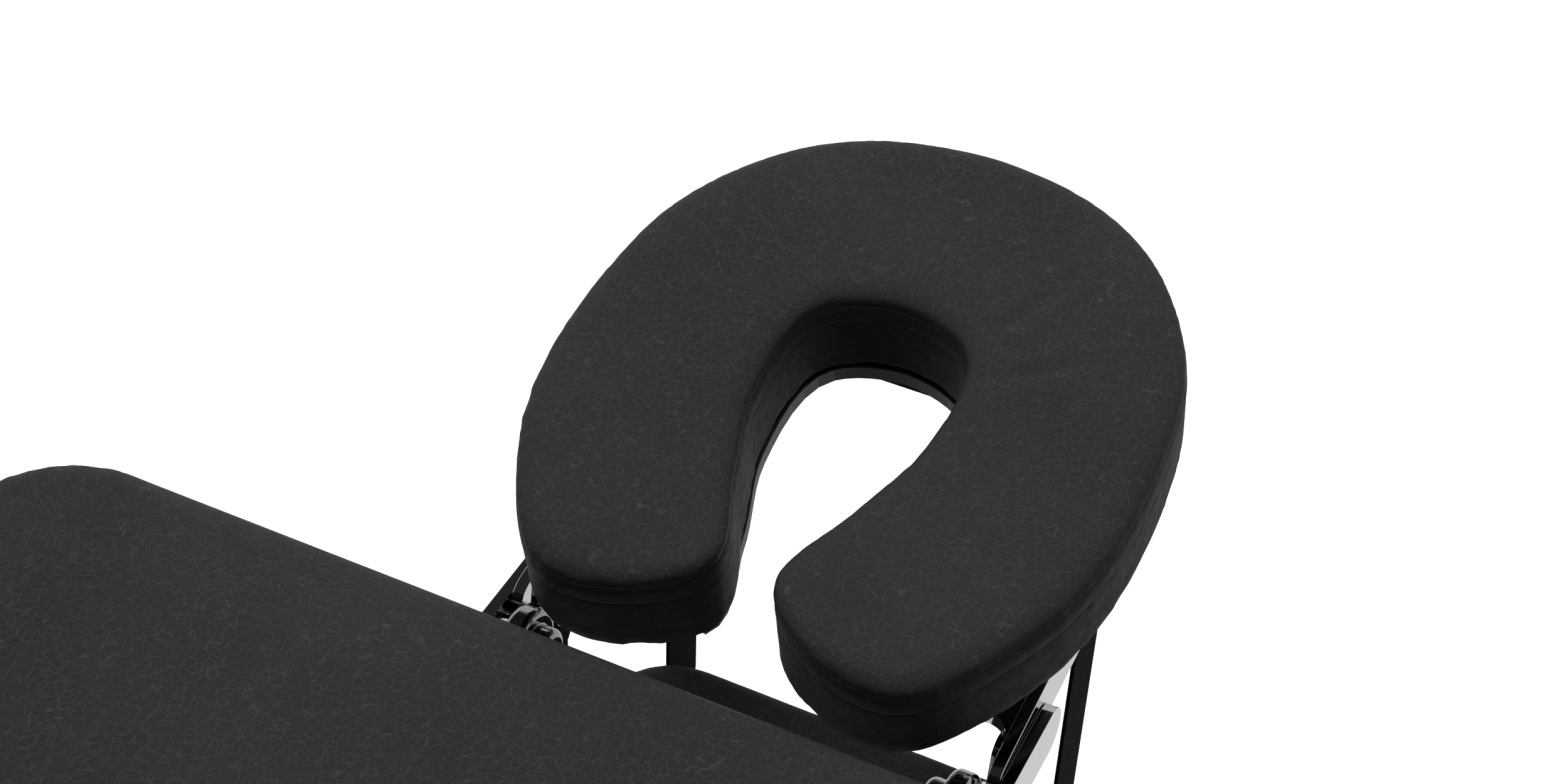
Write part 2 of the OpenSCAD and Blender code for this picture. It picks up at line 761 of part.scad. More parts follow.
// Round stepped clamp knob inside the left arm
module clamp_knob() {
    color(chrome) at_dowels() translate([pivot_out, 0, 0]) rotate([-90, 0, 0]) difference() {
        translate([0, 0, knob_y - spigot_t]) rotate_extrude() {
            square([spigot_r - knob_round, spigot_t]);
            translate([0, knob_round]) square([spigot_r, spigot_t - knob_round]);
            translate([spigot_r - knob_round, knob_round]) circle(knob_round);
            translate([0, spigot_t]) square([knob_r - knob_round, knob_t]);
            translate([0, spigot_t + knob_round]) square([knob_r, knob_t - 2 * knob_round]);
            for (z = [knob_round, knob_t - knob_round])
                translate([knob_r - knob_round, spigot_t + z]) circle(knob_round);
            translate([0, spigot_t]) square([hub_r, knob_t + hub_t]);
        }
        translate([0, 0, knob_y]) cylinder(r = pivot_r + fit_gap, h = knob_t + hub_t + over);
    }
}

module outer_arms() {
    color(chrome) at_dowels() both_sides() translate([pivot_out, 0, 0]) difference() {
        translate([0, outer_arm_y, 0]) bar(outer_arm_l, arm_h, arm_t);
        rod_y(pivot_r + fit_gap, outer_arm_y - over, outer_arm_y + arm_t + over);
        translate([tilt_out, 0, tilt_rise]) {
            rod_y(pivot_r + fit_gap, outer_arm_y - over, outer_arm_y + arm_t + over);
            rod_y(flush_r + fit_gap, outer_arm_y + arm_t - flush_t - fit_gap, outer_arm_y + arm_t + over);
        }
    }
}

module tilt_bolts() {
    outer = outer_arm_y + arm_t;
    color(chrome) translate([head_end + tilt_x, 0, tilt_z]) both_sides() {
        rod_y(pivot_r, inner_arm_y - nut_t, outer);
        rod_y(flush_r, outer - flush_t, outer);
        rod_y(nut_r, inner_arm_y - nut_t, inner_arm_y);
    }
}

// Frame of the cushion: u along its underside from the lobes' front, w square to it
module in_cushion_plane() {
    translate([head_end + cushion_gap, 0, top_h - cushion_drop]) rotate([0, -cushion_pitch, 0]) children();
}

// Shouldered stud that carries a strap's upper end
module strap_stud(shift, drop) {
    translate([head_end + strap_top_x - shift, strap_y, strap_top_z - drop]) {
        rod_y(strap_stud_r, -strap_face - strap_head_t, inner_arm_y - strap_y);
        rod_y(strap_head_r, -strap_face - strap_head_t, -strap_face);
        rod_y(strap_head_r, strap_face, inner_arm_y - strap_y);
    }
}

module inner_arms() {
    arm_l = inner_arm_end - inner_arm_start - arm_h;
    color(chrome) both_sides() {
        difference() {
            in_cushion_plane() translate([inner_arm_start + arm_h / 2, inner_arm_y, arm_mid_w])
                bar(arm_l, arm_h, arm_t);
            translate([head_end + tilt_x, 0, tilt_z])
                rod_y(pivot_r + fit_gap, inner_arm_y - over, inner_arm_y + arm_t + over);
        }
        strap_stud(0, 0);
    }
}

// Lug on the inner arm's face, with the stud that the near strap hangs from
module strap_lug() {
    strap_stud(strap_pitch, strap_step);
    translate([head_end + strap_top_x - strap_pitch, inner_arm_y, strap_top_z - strap_step])
        rotate([90, 0, 0]) linear_extrude(inner_arm_y - strap_y - strap_face) hull() {
            circle(lug_r);
            translate([lug_shift, strap_step - lug_drop]) circle(lug_r);
        }
}

// Plates that tie the inner arms together and carry the cushion's board on spacers, and the lugs on those arms
module cradle_plates() {
    color(chrome) both_sides() strap_lug();
    color(chrome) in_cushion_plane() {
        both_sides() translate([0, 0, arm_top_w - plate_t]) linear_extrude(plate_t) difference() {
            translate([plate_front - plate_fillet, plate_inner_y])
                square([plate_back - plate_front + plate_fillet, inner_arm_y - plate_inner_y]);
            translate([plate_front - plate_fillet, inner_arm_y - plate_fillet]) circle(plate_fillet);
            translate([0, plate_inner_y - over])
                square([plate_front, inner_arm_y - plate_inner_y - plate_fillet + over]);
        }
        translate([far_plate_front, -inner_arm_y, arm_top_w - far_plate_t])
            cube([far_plate_back - far_plate_front, 2 * inner_arm_y, far_plate_t]);
        for (v = [-1, 1]) translate([near_spacer_u, v * near_spacer_v, arm_top_w])
            cylinder(r = spacer_r, h = -arm_top_w - board_t);
        for (v = [-1, 1]) translate([far_spacer_u, v * far_spacer_v, arm_top_w])
            cylinder(r = spacer_r, h = -arm_top_w - board_t);
    }
}

module cushion_board() {
    color(black) in_cushion_plane() translate([0, 0, -board_t]) linear_extrude(board_t) polygon(board_curve);
}

module cradle_cushion() {
    rings = concat(
        [raise(cushion_curve, 0), raise(cushion_curve, cushion_wall)],
        [for (i = [0:len(crown_insets) - 1])
            raise(shrink(cushion_curve, crown_insets[i]), cushion_wall + cushion_crown * crown_rise_shares[i])]
    );
    color(leather) in_cushion_plane() loft(rings, true);
}

// Webbing straps with an eyelet at each end, between the arms and the shelf
module strap(shift, drop, width) {
    run = [strap_top_x - strap_foot_x, strap_top_z - strap_foot_z];
    translate([head_end + strap_foot_x - shift, strap_y - strap_t / 2, strap_foot_z - drop])
        rotate([0, -atan2(run[1], run[0]), 0]) difference() {
            bar(norm(run), width, strap_t);
            rod_y(strap_stud_r + fit_gap, -over, strap_t + over);
            translate([norm(run), 0, 0]) rod_y(strap_stud_r + fit_gap, -over, strap_t + over);
        }
}

module far_straps() {
    color(black) both_sides() strap(0, 0, strap_w);
}

module near_straps() {
    color(black) both_sides() strap(strap_pitch, strap_step, near_strap_w);
}

// Outline of the arm shelf, shrunk by inset
function shelf_outline(inset) =
    let (x0 = head_end + shelf_near + inset, x1 = head_end + shelf_far - inset, y = shelf_l / 2 - inset)
    let (r = shelf_corner_r - inset)
    concat(
        arc([x1 - r, y - r], r, 0, 90, corner_steps),
        arc([x0 + r, y - r], r, 90, 180, corner_steps),
        arc([x0 + r, r - y], r, 180, 270, corner_steps),
        arc([x1 - r, r - y], r, 270, 360, corner_steps)
    );

// Slots that the near straps pass through
module strap_slots() {
    both_sides() translate([head_end + strap_foot_x - strap_pitch - near_strap_w / 2 - slot_back,
        strap_y - slot_w / 2, shelf_bottom - over])
            cube([near_strap_w + slot_back + slot_ahead, slot_w, shelf_top - shelf_bottom + 2 * over]);
}

module shelf_board() {
    color(birch) difference() {
        translate([0, 0, shelf_bottom]) linear_extrude(shelf_board_t) polygon(shelf_outline(shelf_board_in));
        strap_slots();
    }
}

module shelf_pad() {
    base = shelf_top - shelf_pad_t;
    rings = concat(
        [raise(shelf_outline(0), base)],
        [for (i = [0:edge_steps]) let (a = 90 * i / edge_steps)
            raise(shelf_outline(shelf_edge_r * (1 - cos(a))), shelf_top - shelf_edge_r * (1 - sin(a)))]
    );
    color(leather) difference() {
        loft(rings);
        strap_slots();
    }
}

// Flat plates under the shelf, with a headed stud for the foot of each strap
module shelf_rails() {
    color(chrome) both_sides() translate([head_end + strap_foot_x - strap_pitch, strap_y, strap_foot_z - strap_step]) {
        translate([0, -strap_face, 0]) rotate([90, 0, 0]) linear_extrude(shelf_rail_t) hull() {
            circle(shelf_rail_h / 2);
            translate([strap_pitch, strap_step]) circle(shelf_rail_h / 2);
            translate([-shelf_rail_h / 2, strap_step]) square([strap_pitch, shelf_rail_h / 2]);
        }
        for (x = [0, 1]) translate([x * strap_pitch, 0, x * strap_step]) {
            rod_y(strap_stud_r, -strap_face, strap_face + strap_head_t);
            rod_y(strap_head_r, strap_face, strap_face + strap_head_t);
        }
    }
}

pad(1);  // head_pad
pad(-1);  // foot_pad
deck(1);  // head_deck
deck(-1);  // foot_deck
side_rails(1);  // head_side_rails
side_rails(-1);  // foot_side_rails
end_rail(1);  // head_end_rail
end_rail(-1);  // foot_end_rail
centre_rail(1);  // head_centre_rail
centre_rail(-1);  // foot_centre_rail
sockets(1);  // head_sockets
sockets(-1);  // foot_sockets
brackets(1);  // head_brackets
brackets(-1);  // foot_brackets
leg_bolts(1);  // head_leg_bolts
leg_bolts(-1);  // foot_leg_bolts
hinge_leaves(1);  // head_hinge_leaves
hinge_leaves(-1);  // foot_hinge_leaves
hinge_pins();
upper_legs(1);  // head_upper_legs
upper_legs(-1);  // foot_upper_legs
crossbars(1);  // head_crossbars
crossbars(-1);  // foot_crossbars
collars(1);  // head_collars
collars(-1);  // foot_collars
stays(1);  // head_stays
stays(-1);  // foot_stays
lower_leg(1, 1);  // head_left_leg
lower_leg(1, -1);  // head_right_leg
lower_leg(-1, 1);  // foot_left_leg
lower_leg(-1, -1);  // foot_right_leg
rubber_foot(1, 1);  // head_left_foot
rubber_foot(1, -1);  // head_right_foot
rubber_foot(-1, 1);  // foot_left_foot
rubber_foot(-1, -1);  // foot_right_foot
leg_knob(1, 1);  // head_left_knob
leg_knob(1, -1);  // head_right_knob
leg_knob(-1, 1);  // foot_left_knob
leg_knob(-1, -1);  // foot_right_knob
handle(1);  // head_handle
handle(-1);  // foot_handle
latch_bar();
latch_screw();
latch_keeper();
cradle_dowels();
height_bolts();
clamp_knob();  // cradle_left_knob
mirror([0, 1, 0]) clamp_knob();  // cradle_right_knob
outer_arms();
tilt_bolts();
inner_arms();
cradle_plates();
cushion_board();
cradle_cushion();
far_straps();
near_straps();
shelf_board();
shelf_pad();
shelf_rails();
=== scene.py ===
import json
import math

import bmesh
import bpy
import numpy as np
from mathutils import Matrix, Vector
from mathutils.bvhtree import BVHTree

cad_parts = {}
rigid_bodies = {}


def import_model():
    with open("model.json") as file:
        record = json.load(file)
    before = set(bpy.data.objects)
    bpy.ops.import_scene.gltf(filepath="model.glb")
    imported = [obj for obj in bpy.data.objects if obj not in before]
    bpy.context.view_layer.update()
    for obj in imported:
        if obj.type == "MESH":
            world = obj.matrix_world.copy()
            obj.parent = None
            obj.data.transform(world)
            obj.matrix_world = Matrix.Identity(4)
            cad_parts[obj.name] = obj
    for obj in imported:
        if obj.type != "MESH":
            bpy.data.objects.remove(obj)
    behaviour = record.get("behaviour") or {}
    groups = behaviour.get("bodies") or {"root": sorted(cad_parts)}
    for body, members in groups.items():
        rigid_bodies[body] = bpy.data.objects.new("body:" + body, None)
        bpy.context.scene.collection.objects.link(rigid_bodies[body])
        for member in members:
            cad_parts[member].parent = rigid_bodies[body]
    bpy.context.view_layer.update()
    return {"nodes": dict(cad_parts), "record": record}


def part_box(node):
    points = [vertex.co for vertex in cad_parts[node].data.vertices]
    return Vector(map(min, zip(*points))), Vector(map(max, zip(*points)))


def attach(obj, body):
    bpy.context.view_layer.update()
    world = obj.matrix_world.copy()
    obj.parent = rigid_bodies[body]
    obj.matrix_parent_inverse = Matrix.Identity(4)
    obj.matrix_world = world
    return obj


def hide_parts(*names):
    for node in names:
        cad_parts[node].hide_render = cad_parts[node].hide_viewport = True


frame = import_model()

# Places and sizes shared by many pieces, in metres
HALF_LENGTH = 0.925
CUSHION_PITCH = math.radians(8.4)
CUSHION_LENGTH = 0.311
CUSHION_GAP = 0.0284
CUSHION_DROP = 0.046
CUSHION_REACH = CUSHION_GAP + CUSHION_LENGTH * math.cos(CUSHION_PITCH)
FOLD_X = -CUSHION_REACH / 2
HEAD_END = FOLD_X + HALF_LENGTH
TOP_Z = 0.705
SHELF_Z = 0.479
CUSHION_ORIGIN = Vector((HEAD_END + CUSHION_GAP, 0, TOP_Z - CUSHION_DROP))
ALONG = np.array((math.cos(CUSHION_PITCH), 0, math.sin(CUSHION_PITCH)))
ABOVE = np.array((-math.sin(CUSHION_PITCH), 0, math.cos(CUSHION_PITCH)))
SEAM_HEIGHTS = (0.0443, 0.0340)
STRAP_TOP = Vector((HEAD_END + 0.207, 0, 0.637))
STRAP_FOOT = Vector((HEAD_END + 0.192, 0, 0.440))
TILT_BOLT = Vector((HEAD_END + 0.0995, 0, 0.626))
BOLT_HEAD = 0.008


# Camera at the photograph's viewpoint
CAMERA_PLACE = (0.1426, -0.3562, 1.5181)
CAMERA_AZIMUTH = math.radians(26.66)
CAMERA_DOWN = math.radians(42.67)
CAMERA_LENS = 58.23
SENSOR_WIDTH = 36


def set_camera():
    data = bpy.data.cameras.new("camera")
    camera = bpy.data.objects.new("camera", data)
    bpy.context.scene.collection.objects.link(camera)
    level = math.cos(CAMERA_DOWN)
    ahead = level * math.cos(CAMERA_AZIMUTH)
    aside = level * math.sin(CAMERA_AZIMUTH)
    look = Vector((ahead, aside, -math.sin(CAMERA_DOWN)))
    camera.location = CAMERA_PLACE
    camera.rotation_mode = "QUATERNION"
    camera.rotation_quaternion = look.to_track_quat("-Z", "Y")
    data.sensor_width = SENSOR_WIDTH
    data.lens = CAMERA_LENS
    data.clip_start = 0.05
    data.clip_end = 60
    bpy.context.scene.camera = camera


set_camera()


# Node helpers
def grey(value):
    return (value, value, value)


class Nodes:
    """Adds nodes to a node tree. A value may be a number, a vector or another node's output."""

    def __init__(self, tree):
        self.tree = tree

    def node(self, kind, **settings):
        made = self.tree.nodes.new(kind)
        for key, value in settings.items():
            setattr(made, key, value)
        return made

    def feed(self, socket, value):
        if isinstance(value, bpy.types.NodeSocket):
            self.tree.links.new(value, socket)
        else:
            socket.default_value = value

    def put(self, node, **values):
        for key, value in values.items():
            self.feed(node.inputs[key.replace("_", " ")], value)

    def math(self, operation, *values):
        made = self.node("ShaderNodeMath", operation=operation)
        for socket, value in zip(made.inputs, values):
            self.feed(socket, value)
        return made.outputs[0]

    def product(self, first, second):
        return self.math("MULTIPLY", first, second)

    def vector_math(self, operation, first, second, output="Vector"):
        made = self.node("ShaderNodeVectorMath", operation=operation)
        self.feed(made.inputs[0], first)
        self.feed(made.inputs[1], second)
        return made.outputs[output]

    def ramp(self, value, low, high, start=0.0, end=1.0):
        """Goes smoothly from start to end while the value goes from low to high."""
        made = self.node("ShaderNodeMapRange", interpolation_type="SMOOTHSTEP")
        self.put(made, Value=value, From_Min=low, From_Max=high, To_Min=start, To_Max=end)
        return made.outputs["Result"]

    def blend(self, factor, first, second):
        """Mixes two colours."""
        made = self.node("ShaderNodeMix", data_type="RGBA")
        self.feed(made.inputs["Factor"], factor)
        for name, value in (("A", first), ("B", second)):
            socket = [s for s in made.inputs if s.name == name and s.type == "RGBA"][0]
            self.feed(socket, value if isinstance(value, bpy.types.NodeSocket) else (*value, 1))
        return [s for s in made.outputs if s.type == "RGBA"][0]

    def mix_shaders(self, factor, first, second):
        made = self.node("ShaderNodeMixShader")
        for socket, value in zip(made.inputs, (factor, first, second)):
            self.feed(socket, value)
        return made.outputs[0]

    def ray_kinds(self):
        """1 on a ray from the camera, also through glass, and 1 on a ray that polished metal mirrors."""
        path = self.node("ShaderNodeLightPath")
        shown = self.math("MAXIMUM", path.outputs["Is Camera Ray"], path.outputs["Is Transmission Ray"])
        return shown, path.outputs["Is Glossy Ray"]


class Finish(Nodes):
    """A node material under construction."""

    def __init__(self, name):
        self.material = bpy.data.materials.new(name)
        self.material.use_nodes = True
        super().__init__(self.material.node_tree)
        self.shader = self.tree.nodes["Principled BSDF"]
        self.place = self.node("ShaderNodeTexCoord").outputs["Object"]

    def along(self, direction, origin=(0, 0, 0)):
        """Distance of a point from the origin along a direction."""
        distance = self.vector_math("DOT_PRODUCT", self.place, direction, "Value")
        return self.math("SUBTRACT", distance, Vector(origin).dot(Vector(direction)))

    def stretched(self, *scale):
        """The point with each axis scaled."""
        made = self.node("ShaderNodeMapping", vector_type="POINT")
        self.put(made, Vector=self.place, Scale=scale)
        return made.outputs[0]

    def noise(self, scale, detail=2.0, roughness=0.5, where=None, output="Fac"):
        made = self.node("ShaderNodeTexNoise")
        self.put(made, Vector=where or self.place, Scale=scale, Detail=detail, Roughness=roughness)
        return made.outputs[output]

    def relief(self, height, depth, strength, before=None):
        """Turns a height from 0 to 1 into a surface that stands depth metres proud."""
        made = self.node("ShaderNodeBump")
        self.put(made, Strength=strength, Distance=depth, Height=height)
        if before is not None:
            self.put(made, Normal=before)
        return made.outputs["Normal"]

    def surface(self, **values):
        """Sets the shader's inputs and hands the material over."""
        self.put(self.shader, **values)
        return self.material


def grain_lines(finish, cell, warp, seed):
    """Thin lines between the pebbles of a grained cover: 1 on a line, 0 on a pebble."""
    place = finish.vector_math("ADD", finish.place, (seed, seed * 0.7, seed * 0.3))
    colour = finish.noise(1 / (cell * 3.2), 1.0, 0.5, place, "Color")
    centred = finish.vector_math("SUBTRACT", colour, grey(0.5))
    bend = finish.vector_math("MULTIPLY", centred, grey(warp))
    cells = finish.node("ShaderNodeTexVoronoi", feature="DISTANCE_TO_EDGE")
    finish.put(cells, Vector=finish.vector_math("ADD", place, bend), Scale=1 / cell, Randomness=1.0)
    return finish.ramp(cells.outputs["Distance"], 0.0, 0.06, 1.0, 0.0)


def leatherette(name, rim, seams=(), tilt=0.0, origin=(0, 0, 0), seed=0.0):
    """Black grained cover with raised grain lines and seam grooves. The lines carry a painted highlight on
    top and painted shade on the walls below the rim, and the seam grooves carry painted shade.
    """
    finish = Finish(name)
    level = finish.along((-math.sin(tilt), 0, math.cos(tilt)), origin)
    wide = grain_lines(finish, 0.0041, 0.0044, seed)
    fine = grain_lines(finish, 0.0026, 0.0028, seed + 3.1)
    strong = finish.ramp(finish.noise(150, 2.0), 0.30, 0.55, 0.45, 1.0)
    patches = finish.ramp(finish.noise(190, 2.0), 0.44, 0.60, 0.0, 0.7)
    lines = finish.math("MAXIMUM", finish.product(wide, strong), finish.product(fine, patches))
    pores = finish.noise(2600, 2.0, 0.6)
    height = finish.math("ADD", finish.product(pores, 0.10), lines)
    shade = finish.ramp(finish.noise(9, 3.0), 0.3, 0.7, 0.0, 1.0)
    ground = finish.blend(shade, (0.0170, 0.0170, 0.0173), (0.0203, 0.0203, 0.0206))
    # Painted highlight and painted shade: the grain lines are painted pale on top and dark on the walls below
    # the rim, as light falls from above.
    on_top = finish.ramp(level, rim - 0.004, rim + 0.002)
    painted_line_light = finish.blend(on_top, grey(0.009), grey(0.052))
    colour = finish.blend(finish.product(lines, 0.42), ground, painted_line_light)
    normal = finish.relief(height, 0.00018, 0.7)
    for place in seams:
        away = finish.math("ABSOLUTE", finish.math("SUBTRACT", level, place))
        groove = finish.ramp(away, 0.0, 0.0011, 0.0, 1.0)
        normal = finish.relief(groove, 0.0004, 0.7, normal)
        # Painted shade: the seam groove is painted near black, as the shade that falls in it.
        colour = finish.blend(finish.ramp(away, 0.0, 0.0006, 0.7, 0.0), colour, grey(0.004))
    rough = finish.ramp(finish.noise(160, 2.0), 0.3, 0.7, 0.52, 0.60)
    return finish.surface(Base_Color=colour, Roughness=rough, Normal=normal, Specular_IOR_Level=0.06)


def polished_metal(name, low, high):
    """Chrome plating with faint buffing marks in the gloss."""
    finish = Finish(name)
    marks = finish.noise(420, 3.0, 0.6)
    rough = finish.ramp(marks, 0.3, 0.75, 0.04, 0.075)
    tone = finish.blend(finish.noise(14, 2.0), low, high)
    return finish.surface(Base_Color=tone, Metallic=1.0, Roughness=rough)


def frame_aluminium():
    """Satin anodised tube with fine drawing lines along its length."""
    finish = Finish("satin_aluminium")
    drawn = finish.noise(1.0, 3.0, 0.6, finish.stretched(12, 900, 900))
    tone = finish.blend(drawn, (0.50, 0.51, 0.525), (0.64, 0.65, 0.66))
    rough = finish.ramp(finish.noise(35, 3.0), 0.3, 0.7, 0.28, 0.38)
    normal = finish.relief(drawn, 0.00005, 0.6)
    return finish.surface(Base_Color=tone, Metallic=1.0, Roughness=rough, Normal=normal)


def birch_ply():
    """Varnished plywood: figured faces and layered edges."""
    finish = Finish("birch_ply")
    with_grain = finish.stretched(3, 26, 26)
    figure = finish.noise(1.6, 6.0, 0.62, with_grain)
    fibres = finish.noise(38, 4.0, 0.7, with_grain)
    layers = finish.math("SINE", finish.product(finish.along((0, 0, 1)), 5200.0))
    base = finish.blend(finish.ramp(figure, 0.35, 0.65), (0.50, 0.34, 0.19), (0.66, 0.49, 0.30))
    tone = finish.blend(finish.ramp(layers, 0.1, 0.6, 0.0, 0.28), base, (0.36, 0.22, 0.12))
    normal = finish.relief(fibres, 0.00012, 0.5)
    return finish.surface(Base_Color=tone, Roughness=0.42, Normal=normal)


def moulded_plastic():
    """Black moulded plastic with a fine spark-eroded grain."""
    finish = Finish("moulded_plastic")
    grain = finish.noise(1900, 2.0, 0.6)
    tone = finish.blend(finish.noise(12, 2.0), (0.011, 0.011, 0.012), (0.018, 0.018, 0.019))
    rough = finish.ramp(grain, 0.3, 0.7, 0.42, 0.56)
    return finish.surface(Base_Color=tone, Roughness=rough, Normal=finish.relief(grain, 0.00006, 0.6))


def foot_rubber():
    """Dull rubber with dust near the floor and fine rings round the foot."""
    finish = Finish("foot_rubber")
    height = finish.along((0, 0, 1))
    rings = finish.math("SINE", finish.product(height, 1500.0))
    dust = finish.product(finish.ramp(height, 0.0, 0.022, 1.0, 0.0), finish.noise(130, 4.0, 0.7))
    tone = finish.blend(dust, grey(0.014), (0.075, 0.070, 0.064))
    normal = finish.relief(finish.ramp(rings, -0.2, 0.6), 0.0004, 0.7)
    return finish.surface(Base_Color=tone, Roughness=0.78, Normal=normal)


def woven_webbing():
    """Flat nylon webbing: ribs across the width with a chevron of threads."""
    finish = Finish("woven_webbing")
    lean = math.atan2(STRAP_TOP.x - STRAP_FOOT.x, STRAP_TOP.z - STRAP_FOOT.z)
    length = finish.along((math.sin(lean), 0, math.cos(lean)))
    across = finish.along((math.cos(lean), 0, -math.sin(lean)))
    ribs = finish.math("SINE", finish.product(length, 2 * math.pi / 0.0011))
    zigzag = finish.math("PINGPONG", finish.product(across, 1 / 0.0055), 1.0)
    slanted = finish.math("ADD", finish.product(length, 2 * math.pi / 0.0022),
                          finish.product(zigzag, 2 * math.pi * 1.6))
    threads = finish.math("SINE", slanted)
    weave = finish.ramp(finish.math("ADD", finish.product(ribs, 0.4), threads), -1.3, 1.3)
    fuzz = finish.noise(900, 3.0, 0.7)
    tone = finish.blend(finish.product(weave, finish.ramp(fuzz, 0.2, 0.8, 0.5, 1.0)),
                        (0.0022, 0.0020, 0.0018), (0.0088, 0.0078, 0.0068))
    normal = finish.relief(weave, 0.00035, 0.8)
    return finish.surface(Base_Color=tone, Roughness=0.86, Normal=normal, Specular_IOR_Level=0.05)


def painted_board():
    """Dark painted board edge with a faint brush texture."""
    finish = Finish("painted_board")
    grain = finish.noise(240, 4.0, 0.65)
    tone = finish.blend(grain, grey(0.008), grey(0.016))
    return finish.surface(Base_Color=tone, Roughness=0.5, Normal=finish.relief(grain, 0.00015, 0.5))


COVER = leatherette("table_cover", TOP_Z - 0.008, seed=0.4)
SHELF_COVER = leatherette("shelf_cover", SHELF_Z - 0.006, seed=2.3)
CUSHION_COVER = leatherette("cushion_cover", 0.050, SEAM_HEIGHTS, CUSHION_PITCH, CUSHION_ORIGIN, seed=1.7)
CHROME = polished_metal("polished_chrome", (0.48, 0.483, 0.488), (0.56, 0.562, 0.566))
# Painted shade: the knobs get a darker copy of the chrome, standing in for the dark reflections that they
# show.
SHADED_KNOB_CHROME = polished_metal("knob_chrome_painted_dark", (0.20, 0.201, 0.204), (0.26, 0.261, 0.264))
ALUMINIUM = frame_aluminium()
PLYWOOD = birch_ply()
PLASTIC = moulded_plastic()
RUBBER = foot_rubber()
WEBBING = woven_webbing()
BOARD = painted_board()


# Finishes of the CAD nodes that stay as they are
FINISHES = {
    "polished": CHROME,
    "frame": ALUMINIUM,
    "plywood": PLYWOOD,
    "plastic": PLASTIC,
    "rubber": RUBBER,
    "webbing": WEBBING,
    "upholstery": COVER,
}


def cover_with(thing, material):
    thing.data.materials.clear()
    thing.data.materials.append(material)


def finish_nodes():
    for part in frame["record"]["subparts"]:
        wanted = BOARD if part["node"] == "cushion_board" else FINISHES[part["material_slot"]]
        cover_with(frame["nodes"][part["node"]], wanted)


finish_nodes()


# Mesh helpers
def clear_selection():
    for thing in bpy.context.view_layer.objects:
        thing.select_set(False)


def make_active(thing):
    clear_selection()
    thing.select_set(True)
    bpy.context.view_layer.objects.active = thing


def copy_of_node(node, name):
    """A merged copy of a CAD node's mesh, as a new object at the origin."""
    source = frame["nodes"][node]
    data = source.data.copy()
    data.name = name
    made = bpy.data.objects.new(name, data)
    bpy.context.scene.collection.objects.link(made)
    made.data.transform(source.matrix_world)
    shape = bmesh.new()
    shape.from_mesh(made.data)
    bmesh.ops.remove_doubles(shape, verts=shape.verts, dist=0.000002)
    shape.to_mesh(made.data)
    shape.free()
    return made


def read_points(thing):
    points = np.zeros(len(thing.data.vertices) * 3)
    thing.data.vertices.foreach_get("co", points)
    return points.reshape(-1, 3)


def write_points(thing, points):
    thing.data.vertices.foreach_set("co", points.reshape(-1))
    thing.data.update()


def read_normals(thing):
    normals = np.zeros(len(thing.data.vertices) * 3)
    thing.data.vertices.foreach_get("normal", normals)
    return normals.reshape(-1, 3)


def use_modifier(thing, kind, **settings):
    """Adds a modifier, sets it and applies it."""
    make_active(thing)
    made = thing.modifiers.new(kind.lower(), kind)
    for key, value in settings.items():
        setattr(made, key, value)
    bpy.ops.object.modifier_apply(modifier=made.name)


def neighbour_mean(thing, values, rounds):
    """Evens out a value per corner over the corners that share an edge with it."""
    edges = np.zeros(len(thing.data.edges) * 2, dtype=np.int64)
    thing.data.edges.foreach_get("vertices", edges)
    one, other = edges.reshape(-1, 2).T
    count = np.bincount(one, minlength=len(values)) + np.bincount(other, minlength=len(values))
    for turn in range(rounds):
        total = np.bincount(one, values[other], len(values)) + np.bincount(other, values[one], len(values))
        values = 0.5 * values + 0.5 * total / np.maximum(count, 1)
    return values


# Stuffed covers
SETTLE_TURNS = 4
SETTLE_SLACK = 0.0003
SETTLE_REACH = 0.006
SWELL_STEPS = 20


def settle_to(thing, node):
    """Draws a swollen cover out or in, to within a little of the outline that it was cut to."""
    guide = copy_of_node(node, "guide")
    cut = [tuple(face.vertices) for face in guide.data.polygons]
    tree = BVHTree.FromPolygons([corner.co for corner in guide.data.vertices], cut)
    for turn in range(SETTLE_TURNS):
        points = read_points(thing)
        normals = read_normals(thing)
        shift = np.zeros(len(points))
        for index, point in enumerate(points):
            near, _, _, far = tree.find_nearest(Vector(point))
            if far > SETTLE_SLACK:
                outward = float(np.dot(np.array(near) - point, normals[index]))
                shift[index] = max(-SETTLE_REACH, min(SETTLE_REACH, outward))
        shift = neighbour_mean(thing, shift, 2)
        write_points(thing, points + normals * shift[:, None])
    stale = guide.data
    bpy.data.objects.remove(guide)
    bpy.data.meshes.remove(stale)


def swell(thing, start, pressure, cap):
    """Where a closed cover's points end when it swells under pressure as cloth, each moved by cap at most."""
    make_active(thing)
    cloth = thing.modifiers.new("cloth", "CLOTH")
    rules = cloth.settings
    rules.quality = 4
    rules.mass = 0.3
    rules.tension_stiffness = 15
    rules.compression_stiffness = 15
    rules.shear_stiffness = 5
    rules.bending_stiffness = 0.5
    rules.use_pressure = True
    rules.uniform_pressure_force = pressure
    rules.effector_weights.gravity = 0
    cloth.collision_settings.use_collision = False
    scene = bpy.context.scene
    for step in range(1, SWELL_STEPS + 1):
        scene.frame_set(step)
    settled = thing.evaluated_get(bpy.context.evaluated_depsgraph_get())
    move = read_points(settled) - start
    far = np.linalg.norm(move, axis=1, keepdims=True)
    move *= np.minimum(1.0, cap / np.maximum(far, 1e-9))
    thing.modifiers.remove(cloth)
    scene.frame_set(1)
    return start + move


